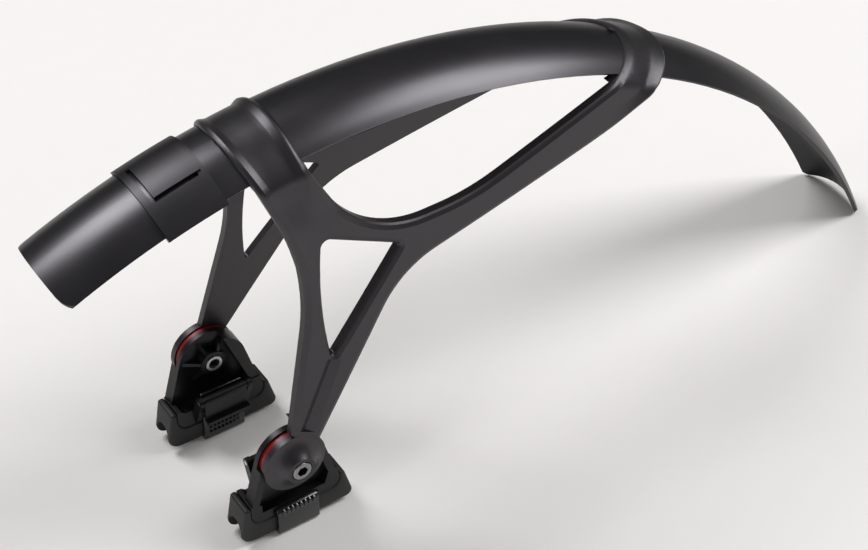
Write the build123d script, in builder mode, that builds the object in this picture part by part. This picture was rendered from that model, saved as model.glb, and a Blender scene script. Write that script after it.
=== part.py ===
from build123d import *
import os
from math import acos, asin, atan, cos, degrees, hypot, radians, sin

# Bicycle mudguard for a rear wheel: an arched blade that follows the tyre, a telescopic front
# extension held by a collar, and one moulded stay whose two hoops carry the blade and whose
# legs end in pivoting feet that strap onto the seat stays.
# X runs from the front of the bicycle to its tail, Z is up, and left is -Y.
# Angles are in degrees about the wheel axle, from straight up towards the tail.
# A lift is a distance above the blade's outer face, square to it.

# Blade
blade_radius = 375.0
blade_width = 50.5
blade_rise = 10.1
blade_wall = 1.8
blade_front = -13.0
tail_width = 45.0
tail_taper_length = 150.0
tail_corner = 4.0
tail_clearance = 0.15
nub_angle = 23.9
nub_radius = 1.8
nub_height = 1.2

# Front extension
extension_front = -24.75
extension_corner = 7.0
shoulder_angle = 1.8
butt_gap = 0.08
tongue_rear = -4.0
tongue_wall = 1.6
tongue_inset = 3.75
slide_gap = 0.35

# Collar and its latch tongue
collar_front = -16.65
collar_rear = -11.9
collar_gap = 0.25
collar_wall = 1.4
collar_wrap = 2.3
collar_edge_gap = 0.6
collar_lip = 2.6
latch_front = -15.8
latch_rear = -12.2
latch_width = 23.0
latch_rise = 0.9
latch_slot = 1.8

# Stay: hoops over the blade, and flared side walls with bevelled edges
hoop_gap = 0.1
hoop_wall = 2.0
stay_wall = 5.5
stay_side_gap = 0.75
stay_flare = 0.127
shoulder_bend = 10.0
edge_bevel = 1.6
face_bevel = 1.2
snap_lip = 4.0
snap_lip_wall = 2.4
snap_gap = 0.4
front_hoop_rear = -6.0
hoop_bend = 42.0
stay_first = -26.0
stay_last = 33.0

# Stay in side view: distances behind the axle, and drops below the blade's highest point
rail_drop = 62.6
rail_front = -12.6
rail_level = 45.7
rail_end = 168.0
rail_end_drop = 28.8
rail_front_bend = 54.0
rail_bend = 120.0
under_front = 4.3
under_front_drop = 86.7
under_rear = 128.0
under_rear_drop = 62.0
under_end = 186.0
under_end_drop = 40.8
leg_bend = 50.0
hoop_front = -64.4
hoop_front_drop = 11.9
knee_front = -42.3
knee_front_drop = 69.7
knee_bend = 100.0
window_front = -34.8
window_front_drop = 52.5
window_rear = 4.8
window_rear_drop = 71.8
window_corner = 4.0
window_tip = 1.4
window_bow = 2.6
valley_width = 8.0
valley_depth = 1.6

# Foot pivot, measured like the stay, and its stack along Y from the middle plane
pivot_ahead = 62.5
pivot_drop = 171.0
foot_height = 46.0
leg_toe = -0.7
leg_toe_rise = 18.0
leg_heel = 6.5
leg_heel_rise = -0.5
window_foot = 25.3
window_foot_rise = 52.5
running_gap = 0.1
bolt_radius = 2.95
bolt_head_radius = 5.0
bolt_head_length = 5.0
bolt_socket_radius = 2.9
bolt_socket_depth = 3.0
bolt_head_round = 0.6
bolt_fit = 0.05
boss_radius = 16.7
boss_back = 44.1
boss_rim = 3.5
boss_height = 10.0
boss_nose_radius = 7.4
boss_sink = 4.6
boss_hollow = 1.2
head_gap = 0.4
relief_gap = 0.9
ring_outer = 15.8
ring_inner = 9.0
ring_wall = 3.0
spigot_height = 3.4
nut_radius = 4.4
nut_length = 5.0
nut_proud = 0.6
bolt_recess = 2.0

# Foot bracket
bracket_depth = 10.0
bracket_wall = 2.4
bracket_face_wall = 3.0
bracket_head = 17.0
nut_boss_radius = 7.0
web_wall = 1.8
web_angles = (60.0, 115.0, 170.0, 225.0)
brace_wall = 4.0
rear_wall_top = 5.0
rear_wall_foot = 19.5
base_front = 24.3
base_rear = 26.3
base_width = 14.6
base_floor = 13.2
base_top = 23.0
base_plate = 2.6
base_corner = 6.0
horn_top = 26.5
horn_wall = 4.6
horn_lean = 2.5
ledge_height = 18.9
ledge_start = 18.3

# Saddle pad and the tube it sits on
pad_middle = 37.8
pad_width = 15.6
pad_front = 30.5
pad_rear = 33.0
pad_lip_top = 25.0
pad_rear_top = 21.0
pad_front_lean = 2.0
pad_rear_lean = 5.0
pad_front_corner = 7.0
pad_rear_corner = 4.0
pad_lip_round = 1.6
pad_gap = 0.15
tube_radius = 6.0
tube_fit = 0.1
tube_clearance = 0.4
crown_wall = 1.6

# Strap and buckle
strap_wall = 2.2
strap_width = 23.0
strap_bend = 2.6
strap_gap = 0.2
strap_hook_height = 15.0
strap_hook_length = 1.8
strap_top = 34.0
tooth_first = 6.0
tooth_pitch = 3.2
tooth_height = 1.0
tooth_wall = 1.5
tooth_count = 8
tooth_width = 18.0
cheek_wall = 2.6
cheek_gap = 0.8
cheek_low = 14.0
cheek_root = 1.2
cheek_round = 2.6
pin_radius = 1.2
pin_gap = 0.06
pin_fit = 0.03
pin_height = 33.0
pin_from_teeth = 2.6
lever_wall = 2.0
lever_drop = 15.0
lever_lip = 4.5
lever_side_gap = 0.3
barrel_radius = 2.2
pawl_wall = 0.8
pawl_bite = 0.4

# What follows from the driving dimensions
arch_radius = (blade_width ** 2 / 4 + blade_rise ** 2) / (2 * blade_rise)
arch_centre = blade_radius - arch_radius
arch_half = degrees(asin(blade_width / 2 / arch_radius))
pivot_rise = blade_radius - pivot_drop
axle_z = foot_height - pivot_rise


def half_angle(width, lift):
    """Half the angle, about the arch's centre, that a width takes up at a lift."""
    return degrees(asin(width / 2 / (arch_radius + lift)))


# The tail ends where its lower corners meet the surface that the feet stand on.
tail_edge_radius = arch_centre + (arch_radius - blade_wall) * cos(radians(half_angle(tail_width, 0)))
blade_tail = degrees(acos((tail_clearance - axle_z) / tail_edge_radius))

# The origin lies under the middle of the part's length.
axle_x = -blade_radius * (sin(radians(blade_tail)) + sin(radians(extension_front))) / 2
axle = Vector(axle_x, 0, axle_z)
axle_axis = Axis(axle, (0, 1, 0))
pivot_x = axle_x - pivot_ahead
pivot_z = foot_height
pivot_axis = Axis((pivot_x, 0, pivot_z), (0, 1, 0))

os.makedirs("parts", exist_ok=True)


def radial_plane(angle):
    """The plane through the axle at an angle: its x is across the wheel and its y is outwards."""
    turn = radians(angle)
    return Plane(axle, x_dir=(0, 1, 0), z_dir=(cos(turn), 0, -sin(turn)))


def tangent_plane(angle, towards_tail=1):
    """The plane on the blade's crown at an angle: its x runs along the blade."""
    turn = radians(angle)
    out = Vector(sin(turn), 0, cos(turn))
    along = Vector(cos(turn), 0, -sin(turn)) * towards_tail
    return Plane(axle + out * blade_radius, x_dir=along, z_dir=out)


def foot_plane(distance):
    """A side-view plane at a distance left of the middle: x from the pivot, y above the ground."""
    return Plane((pivot_x, -distance, 0), x_dir=(1, 0, 0), z_dir=(0, -1, 0))


def turning_plane(side):
    """The plane through a pivot axis: its x is the radius and its y the distance from the middle."""
    return Plane((pivot_x, 0, pivot_z), x_dir=(1, 0, 0), z_dir=(0, 0, side))


def polar(angle, radius):
    """A point in side view, from the axle."""
    return radius * sin(radians(angle)), radius * cos(radians(angle))


def arch_point(angle, lift):
    """A point of the cross-section, at an angle about the arch's own centre."""
    reach = arch_radius + lift
    return reach * sin(radians(angle)), arch_centre + reach * cos(radians(angle))


def arch_band(low_lift, high_lift, first, last):
    """A band of the cross-section between two lifts, from a first to a last arch angle."""
    with BuildLine() as band:
        outer = CenterArc((0, arch_centre), arch_radius + high_lift, 90 - last, last - first)
        inner = CenterArc((0, arch_centre), arch_radius + low_lift, 90 - last, last - first)
        Line(outer @ 0, inner @ 0)
        Line(outer @ 1, inner @ 1)
    make_face(band.edges())


def end_waste(width, start_width, corner, reach):
    """What is cut away beside an end: the taper and its rounded corners, ending at x = 0."""
    half = width / 2
    with BuildSketch(mode=Mode.PRIVATE) as waste:
        for side in (-1, 1):
            with BuildLine():
                Polyline(
                    (-reach, side * blade_width),
                    (-reach, side * start_width / 2),
                    (0, side * half),
                    (0, side * (half - 2 * corner)),
                    (corner, side * (half - 2 * corner)),
                    (corner, side * blade_width),
                    close=True,
                )
            make_face()
        tips = waste.vertices().filter_by(lambda v: abs(v.X) < 0.001 and abs(abs(v.Y) - half) < 0.001)
        fillet(tips, radius=corner)
    return waste.sketch


def finish(name, piece):
    """Label a piece and write its file."""
    piece.label = name
    export_step(piece, f"parts/{name}.step")


# Blade: one arched section turned about the axle, narrowed and rounded at the tail
tail_waste = end_waste(tail_width, blade_width, tail_corner, tail_taper_length)
with BuildPart() as blade:
    with BuildSketch(radial_plane(blade_front)):
        arch_band(-blade_wall, 0, -arch_half, arch_half)
    revolve(axis=axle_axis, revolution_arc=blade_tail - blade_front)
    with BuildSketch(tangent_plane(blade_tail)):
        add(tail_waste)
    extrude(amount=blade_width, both=True, mode=Mode.SUBTRACT)
    with BuildSketch(tangent_plane(nub_angle).offset(-blade_wall / 2)):
        Circle(nub_radius)
    extrude(amount=nub_height + blade_wall / 2)
finish("blade", blade.part)

# Front extension: the visible length flush with the blade, and a tongue that slides under it
tongue_top = -blade_wall - slide_gap
tongue_half = half_angle(blade_width - 2 * tongue_inset, tongue_top)
shoulder_rear = blade_front - butt_gap
shoulder_front = shoulder_rear - shoulder_angle
nose_waste = end_waste(blade_width, blade_width + blade_wall, extension_corner, 2 * extension_corner)
with BuildPart() as front_extension:
    with BuildSketch(radial_plane(extension_front)):
        arch_band(-blade_wall, 0, -arch_half, arch_half)
    revolve(axis=axle_axis, revolution_arc=shoulder_rear - extension_front)
    with BuildSketch(radial_plane(shoulder_front)):
        arch_band(tongue_top - tongue_wall, -blade_wall / 2, -tongue_half, tongue_half)
    revolve(axis=axle_axis, revolution_arc=shoulder_rear - shoulder_front)
    with BuildSketch(radial_plane(shoulder_front)):
        arch_band(tongue_top - tongue_wall, tongue_top, -tongue_half, tongue_half)
    revolve(axis=axle_axis, revolution_arc=tongue_rear - shoulder_front)
    with BuildSketch(tangent_plane(extension_front, -1)):
        add(nose_waste)
    extrude(amount=blade_width, both=True, mode=Mode.SUBTRACT)
finish("front_extension", front_extension.part)

# Collar: a sleeve that wraps the edges of blade and extension, with a sprung latch tongue
collar_top = collar_gap + collar_wall
collar_edge = arch_half + degrees(collar_edge_gap / arch_radius)
collar_end = arch_half + degrees(collar_wrap / arch_radius)
lip_top = -blade_wall - collar_gap
lip_start = arch_half - degrees(collar_lip / arch_radius)
latch_half = half_angle(latch_width, collar_top)
slot_half = half_angle(latch_width + 2 * latch_slot, collar_top)
slot_angle = degrees(latch_slot / blade_radius)
collar_arc = collar_rear - collar_front
with BuildPart() as coupling_collar:
    with BuildSketch(radial_plane(collar_front)):
        arch_band(collar_gap, collar_top, -collar_end, collar_end)
        for side in (-1, 1):
            first, last = sorted((side * collar_edge, side * collar_end))
            arch_band(lip_top - collar_wall, collar_top, first, last)
            first, last = sorted((side * lip_start, side * collar_end))
            arch_band(lip_top - collar_wall, lip_top, first, last)
    revolve(axis=axle_axis, revolution_arc=collar_arc)
    with BuildSketch(radial_plane(latch_front - slot_angle)):
        arch_band(0, collar_top + latch_rise, -slot_half, slot_half)
    revolve(axis=axle_axis, revolution_arc=latch_rear - latch_front, mode=Mode.SUBTRACT)
    with BuildSketch(radial_plane(latch_front)):
        arch_band(collar_gap, collar_top + latch_rise, -latch_half, latch_half)
    revolve(axis=axle_axis, revolution_arc=latch_rear - latch_front)
finish("coupling_collar", coupling_collar.part)

# Stay: a flared shell turned about the axle, trimmed to the side view and bevelled along its edges
hoop_top = hoop_gap + hoop_wall
under_end_angle = arch_half + degrees(stay_side_gap / arch_radius)
edge_half, edge_radius = arch_point(arch_half, -blade_wall)
lip_high = edge_radius - snap_gap
wall_top = lip_high - snap_lip_wall
wall_inner = blade_width / 2 + stay_side_gap
wall_outer = wall_inner + stay_wall
wall_low = pivot_rise - 2 * boss_radius
wall_spread = stay_flare * (wall_top - wall_low)
crown_beyond = blade_radius + 4 * hoop_top
side_beyond = wall_outer + wall_spread + stay_wall

# The hoop's outer arc ends where it meets the line of the flared wall.
wall_lean = degrees(atan(stay_flare))
wall_distance = (wall_outer + stay_flare * (wall_top - arch_centre)) * cos(radians(wall_lean))
hoop_end = degrees(asin(wall_distance / (arch_radius + hoop_top))) - wall_lean


def below_crown(x, drop):
    """A point in side view, from the axle, at a depth below the blade's highest point."""
    return x, blade_radius - drop


def from_pivot(x, rise):
    """A point in side view, from the axle, placed by the foot's pivot."""
    return x - pivot_ahead, pivot_rise + rise


def on_leg(x, rise, side):
    """A point on a leg's outer face, placed in side view by the foot's pivot."""
    ahead, up = from_pivot(x, rise)
    out = wall_outer + stay_flare * (wall_top - hypot(ahead, up))
    return axle + Vector(ahead, side * out, up)


def skin_rim(part):
    """The edges round the stay's outer skin, apart from where its faces meet each other."""
    skin = part.faces().filter_by(lambda f: f.geom_type in (GeomType.CONE, GeomType.TORUS))
    skin = skin.filter_by(lambda f: f.normal_at(f.center()).dot(f.center() - axle) > 0)
    edges = skin.edges()
    return edges.filter_by(lambda e: sum(e.is_same(other) for other in edges) == 1)


with BuildSketch() as stay_section:
    with BuildLine():
        crown = CenterArc((0, arch_centre), arch_radius + hoop_top, 90 - hoop_end, hoop_end)
        under = CenterArc((0, arch_centre), arch_radius + hoop_gap, 90 - under_end_angle, under_end_angle)
        Polyline(
            crown @ 0,
            (wall_outer + wall_spread, wall_low),
            (wall_inner + wall_spread, wall_low),
            (wall_inner, wall_top),
            (wall_inner - snap_lip, wall_top),
            (wall_inner - snap_lip, lip_high),
            (wall_inner, lip_high),
            under @ 0,
        )
        Line(crown @ 1, under @ 1)
    make_face()
    fillet(stay_section.vertices().sort_by_distance(crown @ 0)[0], radius=shoulder_bend)
    mirror(about=Plane.YZ)

hoop_edge = Vector(*below_crown(hoop_front, hoop_front_drop))
knee = Vector(*below_crown(knee_front, knee_front_drop))

# The stay in side view: front hoop, side rail running up into the rear hoop, and two legs
with BuildSketch() as stay_outline:
    with BuildLine():
        leg_front = FilletPolyline(
            knee + (hoop_edge - knee) * 1.3,
            knee,
            from_pivot(leg_toe, leg_toe_rise),
            radius=knee_bend,
        )
        leg_rear = FilletPolyline(
            from_pivot(leg_heel, leg_heel_rise),
            below_crown(under_front, under_front_drop),
            below_crown(under_rear, under_rear_drop),
            below_crown(under_end, under_end_drop),
            radius=[leg_bend, rail_bend],
        )
        rail_top = FilletPolyline(
            below_crown(rail_end, rail_end_drop),
            below_crown(rail_level, rail_drop),
            below_crown(rail_front, rail_drop),
            polar(front_hoop_rear, edge_radius),
            polar(front_hoop_rear, crown_beyond),
            radius=[rail_bend, rail_front_bend, hoop_bend],
        )
        Line(leg_front @ 1, leg_rear @ 0)
        Line(leg_rear @ 1, rail_top @ 0)
        Line(rail_top @ 1, leg_front @ 0)
    make_face()
    with BuildSketch(mode=Mode.SUBTRACT) as window:
        with BuildLine():
            window_line = Line(
                below_crown(window_front, window_front_drop),
                below_crown(window_rear, window_rear_drop),
            )
            window_back = Line(window_line @ 1, from_pivot(window_foot, window_foot_rise))
            SagittaArc(window_back @ 1, window_line @ 0, window_bow)
        make_face()
        fillet(window.vertices().sort_by(Axis.X)[-1], radius=window_tip)
        fillet(window.vertices().sort_by(Axis.Y)[0], radius=window_tip)
        fillet(window.vertices().sort_by(Axis.Y)[-1], radius=window_corner)

side_view = Plane(axle, x_dir=(1, 0, 0), z_dir=(0, -1, 0))
nose_face = boss_back + boss_height
rim_face = boss_back + boss_rim
sink_floor = nose_face - boss_sink
with BuildPart() as stay_frame:
    with BuildSketch(radial_plane(stay_first)):
        add(stay_section.sketch)
    revolve(axis=axle_axis, revolution_arc=stay_last - stay_first)
    with BuildSketch(side_view):
        add(stay_outline.sketch)
    extrude(amount=side_beyond, both=True, mode=Mode.INTERSECT)
    chamfer(skin_rim(stay_frame.part), length=edge_bevel)
    chamfer(skin_rim(stay_frame.part), length=face_bevel)
    for side in (-1, 1):
        valley_top = on_leg(window_foot, window_foot_rise, side)
        valley = on_leg(leg_heel, leg_toe_rise, side) - valley_top
        with BuildSketch(Plane(valley_top, x_dir=Vector(0, side, 0).cross(valley), z_dir=valley)):
            Polygon(
                (-valley_width, valley_depth),
                (0, -valley_depth),
                (valley_width, valley_depth),
                align=None,
            )
        extrude(amount=valley.length, mode=Mode.SUBTRACT)
        with BuildSketch(turning_plane(side)):
            with Locations((0, boss_back)):
                Rectangle(boss_radius + relief_gap, boss_back / 2, align=(Align.MIN, Align.MAX))
            with Locations((0, rim_face)):
                Rectangle(boss_radius + head_gap, side_beyond, align=(Align.MIN, Align.MIN))
        revolve(axis=pivot_axis, mode=Mode.SUBTRACT)
        with BuildSketch(turning_plane(side)):
            with BuildLine():
                rim = Polyline(
                    (boss_nose_radius, nose_face),
                    (0, nose_face),
                    (0, boss_back),
                    (boss_radius, boss_back),
                )
                rise = Line(rim @ 1, (boss_radius, rim_face))
                SagittaArc(rise @ 1, rim @ 0, boss_hollow)
            make_face()
        revolve(axis=pivot_axis)
        with BuildSketch(turning_plane(side)):
            with Locations((0, boss_back / 2)):
                Rectangle(bolt_radius + running_gap, boss_back, align=(Align.MIN, Align.MIN))
            with Locations((0, sink_floor)):
                Rectangle(bolt_head_radius + head_gap, boss_height, align=(Align.MIN, Align.MIN))
        revolve(axis=pivot_axis, mode=Mode.SUBTRACT)
finish("stay_frame", stay_frame.part)

# Levels of one foot: distances left of the middle plane, and heights above the ground
ring_face = boss_back - running_gap
bracket_face = ring_face - ring_wall
bracket_back = bracket_face - bracket_depth
plate_back = bracket_face - bracket_face_wall
pad_low = strap_wall + pad_gap
tube_height = strap_wall + tube_clearance + tube_radius
groove_radius = tube_radius + tube_fit
crown_half = groove_radius + crown_wall
base_inner = pad_middle - base_width / 2
base_outer = pad_middle + base_width / 2
pad_inner = pad_middle - pad_width / 2
pad_outer = pad_middle + pad_width / 2
horn_rear = base_rear - horn_lean
horn_front = horn_rear - horn_wall
strap_half = strap_width / 2
run_inside = pad_inner - strap_gap
run_outside = pad_outer + strap_gap
teeth_tip = run_inside - strap_wall - tooth_height
cheek_inside = strap_half + cheek_gap
pin_from_middle = teeth_tip - pin_from_teeth
hook_end = base_outer - strap_hook_length
pawl_height = tooth_first + 4.5 * tooth_pitch
nut_seat = bracket_back + bracket_wall - nut_proud + nut_length
head_seat = sink_floor + running_gap
bolt_end = nut_seat - nut_length + bolt_recess
cross_plane = Plane((pivot_x, 0, 0), x_dir=(0, -1, 0), z_dir=(-1, 0, 0))

# Foot bracket: a braced plate round the pivot, a boat-shaped base, and the buckle's cheeks
with BuildSketch() as head_outline:
    with Locations((0, pivot_z)):
        Circle(bracket_head)
    Polygon(
        (-base_front, base_top - base_plate),
        (horn_rear, base_top - base_plate),
        (horn_rear, base_top),
        (-base_front, base_top),
        align=None,
    )
    make_hull()

with BuildSketch() as seat_outline:
    Polygon(
        (-base_front, base_floor),
        (base_rear, base_floor),
        (horn_rear, horn_top),
        (-base_front, horn_top),
    )
    fillet(seat_outline.vertices().group_by(Axis.Y)[0], radius=base_corner)

with BuildSketch() as base_outline:
    add(seat_outline.sketch)
    Polygon(
        (-base_front, horn_top),
        (-base_front, pad_lip_top),
        (-base_front + bracket_wall, pad_lip_top),
        (-base_front + 2 * bracket_wall, base_top),
        (horn_front - bracket_wall, base_top),
        (horn_front, horn_top),
        mode=Mode.SUBTRACT,
    )

with BuildPart() as left_foot_bracket:
    with BuildSketch(foot_plane(plate_back)):
        add(head_outline.sketch)
    extrude(amount=bracket_face_wall)
    with BuildSketch(foot_plane(bracket_face)):
        add(head_outline.sketch)
        offset(head_outline.sketch, amount=-brace_wall, mode=Mode.SUBTRACT)
        with Locations((0, pivot_z)):
            Circle(boss_radius + relief_gap, mode=Mode.SUBTRACT)
    extrude(amount=base_outer - bracket_face)
    with BuildSketch(foot_plane(bracket_back)):
        add(head_outline.sketch)
        Polygon(
            (-base_front, 0),
            (rear_wall_foot, 0),
            (rear_wall_foot, base_top),
            (rear_wall_top, pivot_z + bracket_head),
            (-base_front, pivot_z + bracket_head),
            align=None,
            mode=Mode.SUBTRACT,
        )
    extrude(amount=bracket_depth - bracket_face_wall)
    with BuildSketch(foot_plane(base_inner)):
        add(base_outline.sketch)
    extrude(amount=base_width)
    with BuildSketch(foot_plane(bracket_face)):
        Polygon(
            (-ledge_start, ledge_height),
            (horn_front - bracket_wall, ledge_height),
            (horn_front, horn_top),
            (-ledge_start, horn_top),
            align=None,
        )
    extrude(amount=base_outer, mode=Mode.SUBTRACT)
    with BuildSketch(foot_plane(bracket_back + bracket_wall)):
        with Locations((0, pivot_z)):
            Circle(nut_boss_radius)
    extrude(amount=bracket_depth - bracket_wall - bracket_face_wall / 2)
    for angle in web_angles:
        turn = radians(angle)
        out = Vector(cos(turn), 0, sin(turn))
        with BuildSketch(Plane((pivot_x, 0, pivot_z), x_dir=out, z_dir=out.cross(Vector(0, -1, 0)))):
            Polygon(
                (nut_boss_radius - web_wall, bracket_back + bracket_wall),
                (bracket_head - web_wall, plate_back),
                (bracket_head - web_wall, plate_back + web_wall),
                (nut_boss_radius - web_wall, plate_back + web_wall),
                align=None,
            )
        extrude(amount=web_wall / 2, both=True)
    with BuildSketch(turning_plane(-1)):
        with Locations((0, bracket_face - bracket_face_wall / 2)):
            Rectangle(ring_inner - running_gap, spigot_height, align=(Align.MIN, Align.MIN))
    revolve(axis=pivot_axis)
    with BuildSketch(turning_plane(-1)):
        with Locations((0, bracket_back)):
            Rectangle(bolt_radius + bolt_fit, boss_back - bracket_back, align=(Align.MIN, Align.MIN))
        with Locations((0, nut_seat)):
            Rectangle(nut_radius + bolt_fit, nut_seat - bracket_back, align=(Align.MIN, Align.MAX))
    revolve(axis=pivot_axis, mode=Mode.SUBTRACT)
    with BuildSketch(cross_plane):
        with Locations((pad_middle, tube_height)):
            Circle(crown_half + pad_gap)
    extrude(amount=base_front + base_rear, both=True, mode=Mode.SUBTRACT)
    with BuildSketch(cross_plane):
        with Locations((hook_end - pad_gap, strap_hook_height - pad_gap)):
            Rectangle(base_width, strap_wall + 2 * pad_gap, align=(Align.MIN, Align.MIN))
    extrude(amount=strap_half + cheek_gap, both=True, mode=Mode.SUBTRACT)
    for side in (-1, 1):
        with BuildSketch(cross_plane.offset(side * cheek_inside)):
            with Locations((base_inner + cheek_root, cheek_low)):
                Rectangle(bracket_wall, base_top - cheek_low, align=(Align.MAX, Align.MIN))
            with Locations((pin_from_middle, pin_height)):
                Circle(cheek_round)
            make_hull()
        extrude(amount=side * cheek_wall)
    with BuildSketch(cross_plane):
        with Locations((pin_from_middle, pin_height)):
            Circle(pin_radius + pin_fit)
    extrude(amount=cheek_inside + 2 * cheek_wall, both=True, mode=Mode.SUBTRACT)
finish("left_foot_bracket", left_foot_bracket.part)

# Saddle pad: a soft shoe under the base, with a crown that rests on the bicycle's tube
with BuildPart() as left_saddle_pad:
    with BuildSketch(foot_plane(pad_inner)) as shoe:
        Polygon(
            (-pad_front, pad_low),
            (pad_rear, pad_low),
            (pad_rear - pad_rear_lean, pad_rear_top),
            (horn_front, pad_rear_top),
            (-base_front + bracket_wall, pad_lip_top),
            (-pad_front + pad_front_lean, pad_lip_top),
        )
        fillet(shoe.vertices().group_by(Axis.Y)[0].sort_by(Axis.X)[0], radius=pad_front_corner)
        fillet(shoe.vertices().group_by(Axis.Y)[0].sort_by(Axis.X)[-1], radius=pad_rear_corner)
        fillet(shoe.vertices().group_by(Axis.Y)[-1].sort_by(Axis.X)[0], radius=pad_lip_round)
    extrude(amount=pad_width)
    with BuildSketch(foot_plane(pad_inner)):
        offset(seat_outline.sketch, amount=pad_gap)
    extrude(amount=pad_width, mode=Mode.SUBTRACT)
    with BuildSketch(cross_plane.offset(base_front + 2 * pad_gap)):
        with Locations((pad_middle, tube_height)):
            Circle(crown_half)
        with Locations((pad_middle, base_floor - 2 * pad_gap)):
            Rectangle(4 * crown_half, 2 * crown_half, align=(Align.CENTER, Align.MAX), mode=Mode.SUBTRACT)
    extrude(amount=-base_front - base_rear - 4 * pad_gap)
    with BuildSketch(cross_plane):
        with Locations((pad_middle, tube_height)):
            Circle(groove_radius)
            Rectangle(2 * groove_radius, tube_height, align=(Align.CENTER, Align.MAX))
    extrude(amount=pad_front + pad_rear, both=True, mode=Mode.SUBTRACT)
finish("left_saddle_pad", left_saddle_pad.part)

# Friction ring, pivot bolt and nut: the stack that the foot turns on
with BuildPart() as left_friction_ring:
    with BuildSketch(turning_plane(-1)):
        with Locations((ring_inner, bracket_face)):
            Rectangle(ring_outer - ring_inner, ring_wall, align=(Align.MIN, Align.MIN))
    revolve(axis=pivot_axis)
finish("left_friction_ring", left_friction_ring.part)

with BuildPart() as left_pivot_bolt:
    with BuildSketch(turning_plane(-1)):
        with Locations((0, head_seat)):
            Rectangle(bolt_head_radius, bolt_head_length, align=(Align.MIN, Align.MIN))
            Rectangle(bolt_radius, head_seat - bolt_end, align=(Align.MIN, Align.MAX))
    revolve(axis=pivot_axis)
    with BuildSketch(foot_plane(head_seat + bolt_head_length)):
        with Locations((0, pivot_z)):
            RegularPolygon(bolt_socket_radius, 6)
    extrude(amount=-bolt_socket_depth, mode=Mode.SUBTRACT)
    head_rim = left_pivot_bolt.edges().filter_by(GeomType.CIRCLE).sort_by(Axis.Y)[0]
    fillet(head_rim, radius=bolt_head_round)
finish("left_pivot_bolt", left_pivot_bolt.part)

with BuildPart() as left_pivot_nut:
    with BuildSketch(turning_plane(-1)):
        with Locations((bolt_radius + bolt_fit, nut_seat - bolt_fit)):
            Rectangle(nut_radius - bolt_radius - bolt_fit, nut_length, align=(Align.MIN, Align.MAX))
    revolve(axis=pivot_axis)
finish("left_pivot_nut", left_pivot_nut.part)

# Strap: hooked into the base's outer side, under the tube, and up past the buckle with its teeth
with BuildPart() as left_ladder_strap:
    with BuildSketch(cross_plane):
        with BuildLine():
            outside = FilletPolyline(
                (hook_end, strap_hook_height + strap_wall),
                (run_outside + strap_wall, strap_hook_height + strap_wall),
                (run_outside + strap_wall, 0),
                (run_inside - strap_wall, 0),
                (run_inside - strap_wall, strap_top),
                radius=strap_bend,
            )
            inside = FilletPolyline(
                (hook_end, strap_hook_height),
                (run_outside, strap_hook_height),
                (run_outside, strap_wall),
                (run_inside, strap_wall),
                (run_inside, strap_top),
                radius=strap_bend - strap_wall,
            )
            Line(outside @ 0, inside @ 0)
            Line(outside @ 1, inside @ 1)
        make_face()
    extrude(amount=strap_half, both=True)
    with BuildSketch(cross_plane):
        with Locations((run_inside - strap_wall, tooth_first)):
            with GridLocations(0, tooth_pitch, 1, tooth_count, align=(Align.CENTER, Align.MIN)):
                Trapezoid(tooth_wall + tooth_height, 2 * tooth_height, 60, rotation=90)
    extrude(amount=tooth_width / 2, both=True)
finish("left_ladder_strap", left_ladder_strap.part)

# Buckle: a lever on a pin between the cheeks, whose pawl holds the strap's teeth
with BuildPart() as left_buckle_lever:
    with BuildSketch(cross_plane):
        with Locations((pin_from_middle, pin_height)):
            Circle(barrel_radius)
            Rectangle(lever_wall, lever_drop, align=(Align.CENTER, Align.MAX))
        with Locations((pin_from_middle + lever_wall / 2, pin_height - lever_drop)):
            Rectangle(lever_lip, lever_wall, align=(Align.MAX, Align.MIN))
        with Locations((pin_from_middle, pawl_height)):
            Rectangle(teeth_tip + pawl_bite - pin_from_middle, pawl_wall, align=(Align.MIN, Align.CENTER))
        with Locations((pin_from_middle, pin_height)):
            Circle(pin_radius + pin_gap, mode=Mode.SUBTRACT)
    extrude(amount=cheek_inside - lever_side_gap, both=True)
finish("left_buckle_lever", left_buckle_lever.part)

with BuildPart() as left_lever_pin:
    with BuildSketch(cross_plane):
        with Locations((pin_from_middle, pin_height)):
            Circle(pin_radius)
    extrude(amount=cheek_inside + cheek_wall, both=True)
finish("left_lever_pin", left_lever_pin.part)

# The right foot mirrors the left one
for name, left_piece in (
    ("foot_bracket", left_foot_bracket),
    ("saddle_pad", left_saddle_pad),
    ("friction_ring", left_friction_ring),
    ("pivot_bolt", left_pivot_bolt),
    ("pivot_nut", left_pivot_nut),
    ("ladder_strap", left_ladder_strap),
    ("buckle_lever", left_buckle_lever),
    ("lever_pin", left_lever_pin),
):
    with BuildPart() as right_piece:
        mirror(left_piece.part, about=Plane.XZ)
    finish(f"right_{name}", right_piece.part)
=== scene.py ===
import bmesh
import bpy
from math import pi, radians, tan
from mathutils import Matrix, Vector


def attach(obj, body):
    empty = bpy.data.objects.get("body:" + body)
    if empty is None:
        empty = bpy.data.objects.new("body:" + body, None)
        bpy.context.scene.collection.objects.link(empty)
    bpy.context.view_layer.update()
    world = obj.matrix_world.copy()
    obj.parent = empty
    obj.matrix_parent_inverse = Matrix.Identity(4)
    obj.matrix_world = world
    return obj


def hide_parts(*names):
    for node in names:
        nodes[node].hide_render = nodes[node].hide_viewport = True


# Looks of a bicycle mudguard: satin blade, matte moulded stay, and feet with rubber shoes and straps.
# Lengths are in metres. The left side is -Y, the front is -X, and each foot is measured from its pivot.

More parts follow.
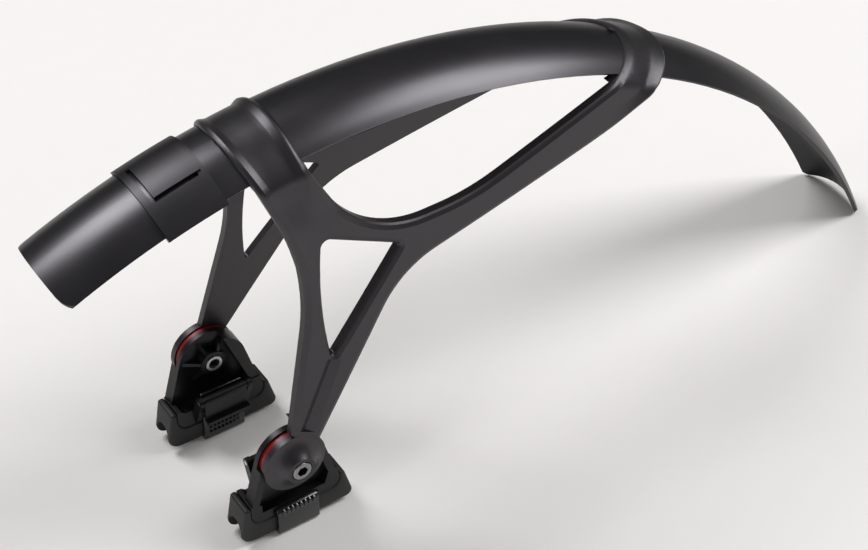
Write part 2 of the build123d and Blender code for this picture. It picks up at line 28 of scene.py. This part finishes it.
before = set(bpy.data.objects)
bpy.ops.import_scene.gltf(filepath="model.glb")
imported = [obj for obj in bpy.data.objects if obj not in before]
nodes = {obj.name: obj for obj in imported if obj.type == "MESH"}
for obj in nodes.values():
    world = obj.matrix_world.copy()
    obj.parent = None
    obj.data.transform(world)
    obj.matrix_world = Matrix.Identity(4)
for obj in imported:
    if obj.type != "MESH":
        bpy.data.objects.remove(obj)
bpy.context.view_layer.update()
MM = 0.001
SAME_PLACE = 0.01 * MM
SIDES = ("left", "right")

# Camera
EYE = Vector((-0.43794, -0.59746, 0.72191))
AIM = Vector((-0.04228, 0.0, 0.0755))
LENS_MM = 79.15
SENSOR_MM = 36.0

# Stage
FLOOR_SIZE = 30.0
FLOOR_COLOUR = (0.955, 0.935, 0.92)
SKY_COLOUR = (0.965, 0.955, 0.945)
SKY_STRENGTH = 0.14

# Colours of the mouldings
BLADE_BLACK = (0.0090, 0.0082, 0.0098)
STAY_BLACK = (0.0125, 0.0115, 0.0125)
FOOT_BLACK = (0.0055, 0.0052, 0.0056)
PAD_BLACK = (0.011, 0.0105, 0.011)
STRAP_BLACK = (0.007, 0.0068, 0.0075)
RING_RED = (0.30, 0.007, 0.009)
BOLT_GREY = (0.34, 0.34, 0.35)
NUT_GREY = (0.72, 0.72, 0.74)
# Painted shade in the pivot bolt's hex socket: inward of the socket's mouth, the steel's colour is scaled
# down to this share
PAINTED_SOCKET_SHADE = 0.03
SOCKET_MOUTH = 0.0541
SOCKET_FADE = 0.0003
NO_SOCKET = 0.0
GLOSS_TINT = (0.97, 0.93, 1.0, 1.0)

# Hoops of the stay: the wheel's axle, the arch of their outside about it, and the side walls they run into.
# The outside moves in full down to FULL_DEPTH, and the inside, at HOOP_WALL, stays.
AXLE_X = -0.0905774
AXLE_Z = -0.158
ARCH_CENTRE = 0.33839
ARCH_RADIUS = 0.03871
WALL_OUT = (0.992, 0.126)
WALL_DISTANCE = 0.03407
SHOULDER = 0.001
HOOP_WALL = 0.002
FULL_DEPTH = 0.0005
HOOP_LOW = 0.125
# Each hoop: where it lies along x, how far its middle sinks and where that comes in, and its rims.
# A rim is the way in from its edge, the edge's place along it, its rise, the share of that rise over the
# crown, its width and where it comes in. What comes in does so along a direction, between two places.
RIM_TOP = 0.0012
CROWN_SIDE = (0.006, 0.025)
# A rim's flank: steps across it, and the share of the fall that is behind each
FLANK = ((0, 0), (0.15, 0.07), (0.85, 0.93), (1, 1))
COMING_IN_CUTS = 5
CRISP_STAY = radians(17)
HOOPS = (
    ((-0.3, -0.09), 0.0013, ((0, 0, 1), 0.172, 0.190), (
        ((0.934, 0, 0.357), -0.07153, 0.0016, 0.8, 0.0050, ((0, 0, 1), 0.140, 0.165)),
        ((-0.9945, 0, -0.1045), 0.10659, 0.0019, 1, 0.0052, ((0, 0, 1), 0.176, 0.190)),
    )),
    ((0.03, 0.3), 0.0008, ((1, 0, 0), 0.056, 0.072), (
        ((-0.3433, 0, 0.9392), 0.13273, 0.0027, 0.3, 0.0072, ((1, 0, 0), 0.030, 0.070)),
    )),
)

# One foot in millimetres: x from its pivot, y out from the middle plane, z above the ground
PIVOT_X = -153.0774
TUBE_Y = 37.8
TUBE_Z = 8.6
SHOE_INNER = 30.0
SHOE_OUTER = 45.6
SHOE_ROUND = 1.1
GROOVE_RADIUS = 6.1
CROWN_RADIUS = 7.7
CROWN_LOW = 12.9
CROWN_ENDS = (-24.6, 26.6)
GROOVE_LOW = -6.0
GROOVE_ENDS = (-40.0, 40.0)
CORNER_STEPS = 8
BAR_SIDES = 96
CRISP_RUBBER = radians(35)
# Corners of the shoe's side view: x, z and the corner's radius
SHOE_SIDE = (
    (-31.9, 2.35, 6.5),
    (33.0, 2.35, 4.0),
    (28.0, 21.0, 1.3),
    (24.98, 21.0, 1.2),
    (26.46, 13.05, 6.0),
    (-24.45, 13.05, 6.15),
    (-24.45, 25.0, 1.3),
    (-27.75, 25.0, 1.5),
)
STRAP_HALF = 11.5
STRAP_ROUND = 0.45
# Corners of the strap's end view: y, z and the corner's radius, down its outside and back up its inside
STRAP_END = (
    (43.3, 17.2, 0.5),
    (48.0, 17.2, 2.6),
    (48.0, 0.0, 2.6),
    (27.6, 0.0, 2.6),
    (27.6, 34.0, 0.9),
    (29.8, 34.0, 0.9),
    (29.8, 2.2, 0.5),
    (45.8, 2.2, 0.5),
    (45.8, 15.0, 0.5),
    (43.3, 15.0, 0.5),
)
STUD_SIZE = (1.75, 2.0, 1.9)
STUD_TAPER = (0.75, 1, 0.25)
STUD_ROUND = 0.15
STUD_ROWS = 8
STUD_ROW_PITCH = 3.2
STUD_ROW_FIRST = 6.0
STUDS_IN_ROW = 8
STUD_PITCH = 2.3
STRAP_INSIDE = 27.6
RIB_SIZE = (1.4, 1.6, 3.6)
RIB_SLOPE = 0.9
RIB_ROUND = 0.2
RIB_PITCH = 2.4
RIB_COUNT = 8
RIB_HEIGHT = 15.9
STRAP_OUTSIDE = 48.0


def aim_at(thing, target):
    """Turn a lamp or the camera to look at a point."""
    thing.rotation_euler = (target - thing.location).to_track_quat("-Z", "Y").to_euler()


def set_camera():
    bpy.ops.object.camera_add(location=EYE)
    camera = bpy.context.object
    aim_at(camera, AIM)
    camera.data.lens = LENS_MM
    camera.data.sensor_width = SENSOR_MM
    camera.data.sensor_fit = "HORIZONTAL"
    camera.data.clip_start = 0.05
    camera.data.clip_end = 100
    bpy.context.scene.camera = camera


def softbox(name, direction, distance, width, height, power):
    """A large soft lamp that shines on the part from a direction."""
    away = Vector(direction).normalized() * distance
    bpy.ops.object.light_add(type="AREA", location=AIM + away)
    lamp = bpy.context.object
    lamp.name = name
    lamp.data.shape = "RECTANGLE"
    lamp.data.size = width
    lamp.data.size_y = height
    lamp.data.energy = power
    aim_at(lamp, AIM)


def set_stage():
    scene = bpy.context.scene
    scene.view_settings.view_transform = "Standard"
    bpy.ops.object.select_all(action="DESELECT")
    bpy.ops.mesh.primitive_plane_add(size=FLOOR_SIZE)
    floor = bpy.context.object
    floor.name = "floor"
    floor.data.materials.append(paper_floor())
    world = bpy.data.worlds.new("studio")
    world.use_nodes = True
    sky = world.node_tree.nodes["Background"]
    sky.inputs["Color"].default_value = (*SKY_COLOUR, 1)
    sky.inputs["Strength"].default_value = SKY_STRENGTH
    scene.world = world
    softbox("back_softbox", (-0.27, 0.50, 0.82), 1.9, 0.75, 0.85, 18)
    softbox("right_softbox", (0.63, -0.23, 0.75), 1.9, 0.9, 1.1, 22)
    softbox("front_softbox", (-0.94, -0.18, 0.28), 2.0, 0.6, 0.45, 6)


def new_material(name):
    material = bpy.data.materials.new(name)
    material.use_nodes = True
    tree = material.node_tree
    shader = tree.nodes["Principled BSDF"]
    return material, tree, shader


def texture(tree, kind, scale, stretch=(1, 1, 1), **settings):
    """A texture node that reads Object coordinates, in metres."""
    place = tree.nodes.new("ShaderNodeTexCoord")
    mapping = tree.nodes.new("ShaderNodeMapping")
    mapping.inputs["Scale"].default_value = stretch
    node = tree.nodes.new(kind)
    node.inputs["Scale"].default_value = scale
    for socket, value in settings.items():
        node.inputs[socket].default_value = value
    tree.links.new(place.outputs["Object"], mapping.inputs["Vector"])
    tree.links.new(mapping.outputs["Vector"], node.inputs["Vector"])
    return node


def ramp(tree, source, low, high, first, last):
    """A colour ramp from first to last, between two values of a texture."""
    node = tree.nodes.new("ShaderNodeValToRGB")
    node.color_ramp.elements[0].position = low
    node.color_ramp.elements[1].position = high
    node.color_ramp.elements[0].color = (*first, 1)
    node.color_ramp.elements[1].color = (*last, 1)
    tree.links.new(source, node.inputs["Fac"])
    return node


def vary(tree, source, low, high):
    """A number that runs from low to high with a source from 0 to 1."""
    node = tree.nodes.new("ShaderNodeMapRange")
    node.inputs["To Min"].default_value = low
    node.inputs["To Max"].default_value = high
    tree.links.new(source, node.inputs["Value"])
    return node


def shade(colour, factor):
    return tuple(channel * factor for channel in colour)


def add_bump(tree, shader, source, height, strength):
    node = tree.nodes.new("ShaderNodeBump")
    node.inputs["Distance"].default_value = height
    node.inputs["Strength"].default_value = strength
    tree.links.new(source, node.inputs["Height"])
    tree.links.new(node.outputs["Normal"], shader.inputs["Normal"])


def dull_at_a_slant(tree, shader, facing, slanting):
    """Less gloss where the surface is seen at a slant, as a grained moulding has."""
    slant = tree.nodes.new("ShaderNodeLayerWeight")
    slant.inputs["Blend"].default_value = 0.5
    gloss = tree.nodes.new("ShaderNodeMapRange")
    gloss.inputs["From Min"].default_value = 0.25
    gloss.inputs["From Max"].default_value = 0.6
    gloss.inputs["To Min"].default_value = facing
    gloss.inputs["To Max"].default_value = slanting
    tree.links.new(slant.outputs["Facing"], gloss.inputs["Value"])
    tree.links.new(gloss.outputs["Result"], shader.inputs["Specular IOR Level"])


def moulded_plastic(name, colour, roughness, grain_scale, grain_height, facing, slanting):
    """Moulded plastic: a cloudy tone, uneven gloss, and the fine grain of the mould."""
    material, tree, shader = new_material(name)
    cloud = texture(tree, "ShaderNodeTexNoise", 38, Detail=4, Roughness=0.6)
    tone = ramp(tree, cloud.outputs["Fac"], 0.3, 0.7, shade(colour, 0.82), shade(colour, 1.18))
    tree.links.new(tone.outputs["Color"], shader.inputs["Base Color"])
    gloss = vary(tree, cloud.outputs["Fac"], roughness - 0.05, roughness + 0.05)
    tree.links.new(gloss.outputs["Result"], shader.inputs["Roughness"])
    grain = texture(tree, "ShaderNodeTexNoise", grain_scale, Detail=3, Roughness=0.55)
    add_bump(tree, shader, grain.outputs["Fac"], grain_height, 0.35)
    shader.inputs["Specular Tint"].default_value = GLOSS_TINT
    dull_at_a_slant(tree, shader, facing, slanting)
    return material


def soft_rubber(name, colour, roughness, specular):
    """Rubber: a matte skin with pores, and a paler bloom in places."""
    material, tree, shader = new_material(name)
    bloom = texture(tree, "ShaderNodeTexNoise", 90, Detail=5, Roughness=0.65)
    tone = ramp(tree, bloom.outputs["Fac"], 0.35, 0.72, shade(colour, 0.8), shade(colour, 1.35))
    tree.links.new(tone.outputs["Color"], shader.inputs["Base Color"])
    gloss = vary(tree, bloom.outputs["Fac"], roughness - 0.06, roughness + 0.08)
    tree.links.new(gloss.outputs["Result"], shader.inputs["Roughness"])
    pores = texture(tree, "ShaderNodeTexVoronoi", 1500)
    add_bump(tree, shader, pores.outputs["Distance"], 0.00008, 0.4)
    shader.inputs["Specular IOR Level"].default_value = specular
    return material


def turned_steel(name, colour, roughness, shade_painted_below):
    """Plated steel with fine turning lines, and painted shade nearer the middle plane than a given
    distance, which darkens the bolt's hex socket.
    """
    material, tree, shader = new_material(name)
    shader.inputs["Metallic"].default_value = 1.0
    lines = texture(tree, "ShaderNodeTexNoise", 900, stretch=(1, 0.15, 1), Detail=3, Roughness=0.6)
    tone = ramp(tree, lines.outputs["Fac"], 0.3, 0.7, shade(colour, 0.8), shade(colour, 1.1))
    # Painted shade: the colour darkens nearer the middle plane than the given distance, in the bolt's hex
    # socket
    place = tree.nodes.new("ShaderNodeTexCoord")
    across = tree.nodes.new("ShaderNodeSeparateXYZ")
    tree.links.new(place.outputs["Object"], across.inputs["Vector"])
    outward = tree.nodes.new("ShaderNodeMath")
    outward.operation = "ABSOLUTE"
    tree.links.new(across.outputs["Y"], outward.inputs[0])
    deep = vary(tree, outward.outputs["Value"], PAINTED_SOCKET_SHADE, 1)
    deep.inputs["From Min"].default_value = shade_painted_below
    deep.inputs["From Max"].default_value = shade_painted_below + SOCKET_FADE
    shaded_tone = tree.nodes.new("ShaderNodeVectorMath")
    shaded_tone.operation = "SCALE"
    tree.links.new(tone.outputs["Color"], shaded_tone.inputs[0])
    tree.links.new(deep.outputs["Result"], shaded_tone.inputs["Scale"])
    tree.links.new(shaded_tone.outputs["Vector"], shader.inputs["Base Color"])
    gloss = vary(tree, lines.outputs["Fac"], roughness - 0.08, roughness + 0.1)
    tree.links.new(gloss.outputs["Result"], shader.inputs["Roughness"])
    add_bump(tree, shader, lines.outputs["Fac"], 0.00003, 0.3)
    return material


def paper_floor():
    material, tree, shader = new_material("pale_paper")
    fibre = texture(tree, "ShaderNodeTexNoise", 60, Detail=4, Roughness=0.6)
    darker, paler = shade(FLOOR_COLOUR, 0.995), shade(FLOOR_COLOUR, 1.005)
    tone = ramp(tree, fibre.outputs["Fac"], 0.3, 0.7, darker, paler)
    tree.links.new(tone.outputs["Color"], shader.inputs["Base Color"])
    shader.inputs["Roughness"].default_value = 0.9
    shader.inputs["Specular IOR Level"].default_value = 0.1
    return material


def on_left_foot(x, y, z):
    """A place on the left foot, in metres."""
    return Vector(((PIVOT_X + x) * MM, -y * MM, z * MM))


def choose_vertices(test):
    """In edit mode, select the vertices that pass a test, and the edges and faces between them."""
    mesh = bmesh.from_edit_mesh(bpy.context.object.data)
    for face in mesh.faces:
        face.select = False
    for edge in mesh.edges:
        edge.select = False
    for vertex in mesh.verts:
        vertex.select = test(vertex.co)
    mesh.select_flush(True)
    bmesh.update_edit_mesh(bpy.context.object.data)


def choose_edges(test):
    """In edit mode, select the edges whose two ends pass a test together."""
    bpy.ops.mesh.select_mode(type="EDGE")
    mesh = bmesh.from_edit_mesh(bpy.context.object.data)
    for face in mesh.faces:
        face.select = False
    for edge in mesh.edges:
        edge.select = test(edge.verts[0].co, edge.verts[1].co)
    mesh.select_flush_mode()
    bmesh.update_edit_mesh(bpy.context.object.data)


def corner_reach(before, corner, after, radius):
    """How far from a corner its rounding starts."""
    bend = (before - corner).angle(after - corner)
    return radius / tan(bend / 2)


def draw_slab(name, corners, radii, across):
    """Draw an outline from corner to corner, round it, fill it, and pull it across into a solid."""
    bpy.ops.object.select_all(action="DESELECT")
    bpy.ops.mesh.primitive_plane_add(size=MM, location=corners[0])
    slab = bpy.context.object
    slab.name = name
    bpy.ops.object.transform_apply(location=True)
    bpy.ops.object.mode_set(mode="EDIT")
    bpy.ops.mesh.select_mode(type="VERT")
    bpy.ops.mesh.select_all(action="SELECT")
    bpy.ops.mesh.merge(type="CENTER")
    for start, end in zip(corners, corners[1:]):
        bpy.ops.mesh.extrude_region_move(TRANSFORM_OT_translate={"value": end - start})
    ends = (corners[0], corners[-1])
    choose_vertices(lambda place: min((place - end).length for end in ends) < SAME_PLACE)
    bpy.ops.mesh.edge_face_add()
    bpy.ops.mesh.select_all(action="SELECT")
    bpy.ops.mesh.edge_face_add()
    count = len(corners)
    for number, corner in enumerate(corners):
        reach = corner_reach(corners[number - 1], corner, corners[(number + 1) % count], radii[number] * MM)
        choose_vertices(lambda place: (place - corner).length < SAME_PLACE)
        bpy.ops.mesh.bevel(offset=reach, offset_type="OFFSET", segments=CORNER_STEPS, profile=0.5,
                           affect="VERTICES")
    bpy.ops.mesh.select_all(action="SELECT")
    bpy.ops.mesh.extrude_region_move(TRANSFORM_OT_translate={"value": across})
    bpy.ops.mesh.select_all(action="SELECT")
    bpy.ops.mesh.normals_make_consistent(inside=False)
    return slab


def round_edges(test, radius, segments):
    """Round the edges that pass a test."""
    choose_edges(test)
    bpy.ops.mesh.bevel(offset=radius, offset_type="OFFSET", segments=segments, profile=0.5, affect="EDGES")


def tube_form(radius, ends, low):
    """A round bar along the foot, whose lower side is drawn down to a level."""
    bpy.ops.object.select_all(action="DESELECT")
    first, last = ends
    middle = on_left_foot((first + last) / 2, TUBE_Y, TUBE_Z)
    bpy.ops.mesh.primitive_cylinder_add(vertices=BAR_SIDES, radius=radius * MM, depth=(last - first) * MM,
                                        location=middle, rotation=(0, pi / 2, 0))
    bar = bpy.context.object
    bpy.ops.object.transform_apply(location=True, rotation=True)
    bpy.ops.object.mode_set(mode="EDIT")
    bpy.ops.mesh.select_all(action="SELECT")
    if low > TUBE_Z:
        bpy.ops.mesh.bisect(plane_co=(0, 0, low * MM), plane_no=(0, 0, 1), clear_inner=True, use_fill=True)
    else:
        choose_vertices(lambda place: place.z < TUBE_Z * MM - SAME_PLACE)
        bpy.ops.transform.translate(value=(0, 0, (low - TUBE_Z) * MM))
    bpy.ops.object.mode_set(mode="OBJECT")
    return bar


def take(piece):
    """Select one piece alone, to work on it."""
    bpy.ops.object.select_all(action="DESELECT")
    piece.select_set(True)
    bpy.context.view_layer.objects.active = piece


def cut_or_join(piece, tool, operation):
    """Cut a tool out of a piece, or join it on, and throw the tool away."""
    take(piece)
    step = piece.modifiers.new(operation.lower(), "BOOLEAN")
    step.operation = operation
    step.solver = "EXACT"
    step.object = tool
    bpy.ops.object.modifier_apply(modifier=step.name)
    bpy.data.objects.remove(tool)


def soften(piece):
    """Shade a finished piece smooth, with its crisp edges kept."""
    take(piece)
    bpy.ops.object.shade_smooth_by_angle(angle=CRISP_RUBBER)


def mirror_copy(piece, name):
    """A copy of a left piece for the right foot, with its own mesh."""
    take(piece)
    bpy.ops.object.duplicate(linked=False)
    other = bpy.context.object
    other.name = name
    bpy.ops.object.mode_set(mode="EDIT")
    bpy.ops.mesh.select_all(action="SELECT")
    bpy.ops.transform.resize(value=(1, -1, 1), center_override=(0, 0, 0))
    bpy.ops.mesh.flip_normals()
    bpy.ops.object.mode_set(mode="OBJECT")
    return other


def mould_shoe():
    """The rubber shoe: a side view pulled across, with a groove for the tube and a crown over it."""
    corners = [on_left_foot(x, SHOE_INNER, z) for x, z, radius in SHOE_SIDE]
    radii = [radius for x, z, radius in SHOE_SIDE]
    shoe = draw_slab("left_rubber_shoe", corners, radii, (0, (SHOE_INNER - SHOE_OUTER) * MM, 0))
    round_edges(lambda a, b: abs(a.y - b.y) < SAME_PLACE, SHOE_ROUND * MM, 4)
    bpy.ops.object.mode_set(mode="OBJECT")
    cut_or_join(shoe, tube_form(CROWN_RADIUS, CROWN_ENDS, CROWN_LOW), "UNION")
    cut_or_join(shoe, tube_form(GROOVE_RADIUS, GROOVE_ENDS, GROOVE_LOW), "DIFFERENCE")
    soften(shoe)
    return shoe


def block(size, place):
    """A small block, left in edit mode to be shaped."""
    bpy.ops.object.select_all(action="DESELECT")
    bpy.ops.mesh.primitive_cube_add(size=MM, location=place)
    piece = bpy.context.object
    piece.scale = size
    bpy.ops.object.transform_apply(location=True, scale=True)
    bpy.ops.object.mode_set(mode="EDIT")
    return piece


def repeat(piece, step, count):
    """Set a piece out in a row."""
    row = piece.modifiers.new("row", "ARRAY")
    row.use_relative_offset = False
    row.use_constant_offset = True
    row.constant_offset_displace = step
    row.count = count
    bpy.ops.object.modifier_apply(modifier=row.name)


def strap_studs():
    """The ladder's teeth: one stud, tapered to a ridge, set out along a row and up the strap."""
    start = on_left_foot(-STUD_PITCH * (STUDS_IN_ROW - 1) / 2, STRAP_INSIDE, STUD_ROW_FIRST)
    stud = block(STUD_SIZE, start)
    tip = (-STRAP_INSIDE + 0.5) * MM
    choose_vertices(lambda place: place.y > tip)
    bpy.ops.transform.resize(value=STUD_TAPER)
    round_edges(lambda a, b: min(a.y, b.y) > tip, STUD_ROUND * MM, 2)
    bpy.ops.object.mode_set(mode="OBJECT")
    repeat(stud, (STUD_PITCH * MM, 0, 0), STUDS_IN_ROW)
    repeat(stud, (0, 0, STUD_ROW_PITCH * MM), STUD_ROWS)
    return stud


def strap_ribs():
    """The finger ribs along the top of the strap's outer side."""
    rib = block(RIB_SIZE, on_left_foot(-RIB_PITCH * (RIB_COUNT - 1) / 2, STRAP_OUTSIDE, RIB_HEIGHT))
    outside = -STRAP_OUTSIDE * MM
    top = RIB_HEIGHT * MM
    choose_vertices(lambda place: place.z > top and place.y < outside)
    bpy.ops.transform.translate(value=(0, 0, -RIB_SLOPE * MM))
    round_edges(lambda a, b: True, RIB_ROUND * MM, 2)
    bpy.ops.object.mode_set(mode="OBJECT")
    repeat(rib, (RIB_PITCH * MM, 0, 0), RIB_COUNT)
    return rib


def mould_strap():
    """The ladder strap: its end view pulled along the foot, then the teeth and the ribs."""
    corners = [on_left_foot(-STRAP_HALF, y, z) for y, z, radius in STRAP_END]
    radii = [radius for y, z, radius in STRAP_END]
    strap = draw_slab("left_rubber_strap", corners, radii, (2 * STRAP_HALF * MM, 0, 0))
    round_edges(lambda a, b: abs(a.x - b.x) < SAME_PLACE, STRAP_ROUND * MM, 3)
    bpy.ops.object.mode_set(mode="OBJECT")
    studs = strap_studs()
    ribs = strap_ribs()
    bpy.ops.object.select_all(action="DESELECT")
    for piece in (studs, ribs, strap):
        piece.select_set(True)
    bpy.context.view_layer.objects.active = strap
    bpy.ops.object.join()
    soften(strap)
    return strap


def ease(value, start, end):
    """A number that runs smoothly from 0 to 1 between two values."""
    step = min(max((value - start) / (end - start), 0), 1)
    return step * step * (3 - 2 * step)


def out_of_hoop(place):
    """The way out of a hoop's outside at a place, and how deep the place lies below that outside."""
    from_axle = Vector((place.x - AXLE_X, 0, place.z - AXLE_Z))
    up = from_axle.normalized()
    side = Vector((0, 1 if place.y > 0 else -1, 0))
    across, above = abs(place.y), from_axle.length - ARCH_CENTRE
    arch_out = Vector((across, above)).normalized()
    wall_out = Vector(WALL_OUT)
    below_arch = ARCH_RADIUS - Vector((across, above)).length
    below_wall = WALL_DISTANCE - Vector((across, above)).dot(wall_out)
    out = arch_out.lerp(wall_out, ease(below_arch - below_wall, -SHOULDER, SHOULDER)).normalized()
    return side * out.x + up * out.y, min(below_arch, below_wall)


def comes_in(place, along, start, end):
    """The share of a form that is there at a place, as it comes in along a direction."""
    return ease(place.dot(Vector(along)), start, end)


def flank(step):
    """The share of a rim's fall that is behind a step across its flank."""
    for (start, low), (end, high) in zip(FLANK, FLANK[1:]):
        if step <= end:
            return low + (high - low) * max(step - start, 0) / (end - start)
    return 1


def rim_height(place, sink, middle, rims):
    """How far a hoop's outside is raised at a place."""
    height = -sink * comes_in(place, *middle)
    beside = ease(abs(place.y), *CROWN_SIDE)
    for inward, edge, rise, crown, width, reach in rims:
        step = (place.dot(Vector(inward)) - edge - RIM_TOP) / width
        height += rise * (crown + (1 - crown) * beside) * (1 - flank(step)) * comes_in(place, *reach)
    return height


def cut_hoop(reach, along, place):
    """In edit mode, cut a hoop's faces along a plane, so that they can follow a curve."""
    mesh = bmesh.from_edit_mesh(bpy.context.object.data)
    for face in mesh.faces:
        middle = face.calc_center_median()
        face.select = reach[0] < middle.x < reach[1] and middle.z > HOOP_LOW
    bmesh.update_edit_mesh(bpy.context.object.data)
    plane = Vector(along).normalized()
    bpy.ops.mesh.bisect(plane_co=plane * place, plane_no=plane)


def mould_stay():
    """The stay with its hoops hollowed between raised rims, on a copy of its solid."""
    take(nodes["stay_frame"])
    bpy.ops.object.duplicate(linked=False)
    stay = bpy.context.object
    stay.name = "looped_stay"
    bpy.ops.mesh.customdata_custom_splitnormals_clear()
    bpy.ops.object.mode_set(mode="EDIT")
    bpy.ops.mesh.select_mode(type="FACE")
    bpy.ops.mesh.select_all(action="SELECT")
    bpy.ops.mesh.remove_doubles(threshold=0.001 * MM)
    for reach, sink, middle, rims in HOOPS:
        for inward, edge, rise, crown, width, (along, start, end) in rims:
            for step, _ in FLANK:
                cut_hoop(reach, inward, edge + RIM_TOP + width * step)
            for step in range(COMING_IN_CUTS):
                cut_hoop(reach, along, start + (end - start) * step / (COMING_IN_CUTS - 1))
    mesh = bmesh.from_edit_mesh(stay.data)
    moves = []
    for vertex in mesh.verts:
        for reach, sink, middle, rims in HOOPS:
            if reach[0] < vertex.co.x < reach[1]:
                out, depth = out_of_hoop(vertex.co)
                share = min(max((HOOP_WALL - depth) / (HOOP_WALL - FULL_DEPTH), 0), 1)
                moves.append((vertex, out * share * rim_height(vertex.co, sink, middle, rims)))
    for vertex, move in moves:
        vertex.co += move
    bmesh.update_edit_mesh(stay.data)
    bpy.ops.object.mode_set(mode="OBJECT")
    bpy.ops.object.shade_smooth_by_angle(angle=CRISP_STAY)
    return stay


def fit_stay():
    """Put the hollowed stay in place of its plain solid."""
    stay = mould_stay()
    stay.data.materials.clear()
    stay.data.materials.append(nodes["stay_frame"].data.materials[0])
    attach(stay, "guard")
    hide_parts("stay_frame")


def fit_rubber():
    """Put the shoes and straps on both feet, in place of their plain solids."""
    shoe_rubber = soft_rubber("shoe_rubber", PAD_BLACK, 0.5, 0.45)
    strap_rubber = soft_rubber("strap_rubber", STRAP_BLACK, 0.22, 0.8)
    rubber = (
        (mould_shoe(), "rubber_shoe", "saddle_pad", "pad_rubber", shoe_rubber),
        (mould_strap(), "rubber_strap", "ladder_strap", "strap_rubber", strap_rubber),
    )
    for left, name, node, slot, material in rubber:
        left.data.materials.clear()
        left.data.materials.append(material)
        right = mirror_copy(left, f"right_{name}")
        for side, piece in (("left", left), ("right", right)):
            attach(piece, f"{side}_foot")
            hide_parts(f"{side}_{node}")


def dress(node, material):
    """Give a CAD node its finish."""
    nodes[node].data.materials.clear()
    nodes[node].data.materials.append(material)


def dress_mouldings():
    blade_satin = moulded_plastic("blade_satin", BLADE_BLACK, 0.33, 2200, 0.00003, 0.9, 0.16)
    collar_satin = moulded_plastic("collar_satin", BLADE_BLACK, 0.42, 2200, 0.00003, 0.75, 0.1)
    stay_matte = moulded_plastic("stay_matte", STAY_BLACK, 0.38, 1700, 0.00005, 0.75, 0.35)
    foot_matte = moulded_plastic("foot_matte", FOOT_BLACK, 0.36, 1500, 0.00005, 0.45, 0.2)
    ring_red = moulded_plastic("ring_red", RING_RED, 0.34, 1600, 0.00003, 0.5, 0.3)
    # The bolt's hex socket gets painted shade inward of its mouth
    bolt_steel = turned_steel("bolt_steel", BOLT_GREY, 0.32, SOCKET_MOUTH)
    nut_steel = turned_steel("nut_steel", NUT_GREY, 0.3, NO_SOCKET)
    dress("blade", blade_satin)
    dress("front_extension", blade_satin)
    dress("coupling_collar", collar_satin)
    dress("stay_frame", stay_matte)
    for side in SIDES:
        dress(f"{side}_foot_bracket", foot_matte)
        dress(f"{side}_buckle_lever", foot_matte)
        dress(f"{side}_friction_ring", ring_red)
        dress(f"{side}_pivot_bolt", bolt_steel)
        dress(f"{side}_pivot_nut", nut_steel)
        dress(f"{side}_lever_pin", nut_steel)


set_camera()
set_stage()
dress_mouldings()
fit_stay()
fit_rubber()
